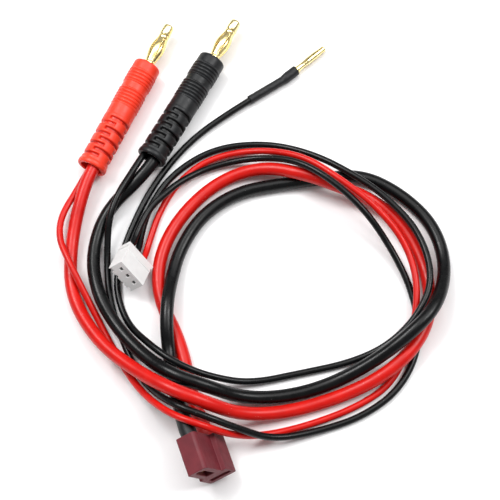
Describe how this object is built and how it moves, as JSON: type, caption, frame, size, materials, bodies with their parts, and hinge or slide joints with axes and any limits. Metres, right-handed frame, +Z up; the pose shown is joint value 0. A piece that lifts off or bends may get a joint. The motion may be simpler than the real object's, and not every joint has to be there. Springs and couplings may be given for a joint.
{
  "type": "balance charging lead",
  "caption": "Charging lead with red and black banana plugs, a maroon T connector, a white three-way balance connector and a gold bullet on silicone wires.",
  "frame": {"origin": "on the surface the lead lies on, under the middle of the bounding box of the connectors (the five wires left out)", "axes": "+Z up from the surface; +Y along the longest extent of the connectors, from the T connector towards the banana plugs; +X towards the side the coil of wires lies on"},
  "size_m": [0.1043, 0.13, 0.0158],
  "materials": {
    "red_sleeve": "satin",
    "black_sleeve": "satin",
    "gold_plate": "polished gold plate",
    "gold_spring": "polished gold plate",
    "solder": "satin solder",
    "maroon_nylon": "matte",
    "white_nylon": "satin",
    "tinned_contact": "tin plate",
    "red_silicone": "satin",
    "black_silicone": "satin",
    "red_shrink": "satin",
    "black_shrink": "satin"
  },
  "bodies": {
    "lead": {"balance_contact_middle": "tinned_contact", "balance_contact_negative": "tinned_contact", "balance_contact_positive": "tinned_contact", "balance_housing": "white_nylon", "black_banana_pin": "gold_plate", "black_banana_sleeve": "black_sleeve", "black_solder_slug": "solder", "bullet_heat_shrink": "black_shrink", "bullet_pin": "gold_plate", "bullet_solder_slug": "solder", "middle_tap_wire": "black_silicone", "red_banana_pin": "gold_plate", "red_banana_sleeve": "red_sleeve", "red_solder_slug": "solder", "t_contact_negative": "gold_plate", "t_contact_positive": "gold_plate", "t_heat_shrink_black": "black_shrink", "t_heat_shrink_red": "red_shrink", "t_housing": "maroon_nylon", "t_leaf_spring_negative": "gold_spring", "t_leaf_spring_positive": "gold_spring", "t_solder_negative": "solder", "t_solder_positive": "solder", "thick_black_wire": "black_silicone", "thick_red_wire": "red_silicone", "thin_black_wire": "black_silicone", "thin_red_wire": "red_silicone"},
    "red_spring_cage": {"red_spring_cage": "gold_spring"},
    "black_spring_cage": {"black_spring_cage": "gold_spring"}
  },
  "joints": [
    {"name": "red_cage_spin", "type": "hinge", "parent": "lead", "child": "red_spring_cage", "pos_m": [-0.01348, 0.05575, 0.0041], "axis": [0.4258, 0.9048, 0], "continuous": true},
    {"name": "black_cage_spin", "type": "hinge", "parent": "lead", "child": "black_spring_cage", "pos_m": [0.00473, 0.05743, 0.0041], "axis": [0.4818, 0.8763, 0], "continuous": true}
  ]
}
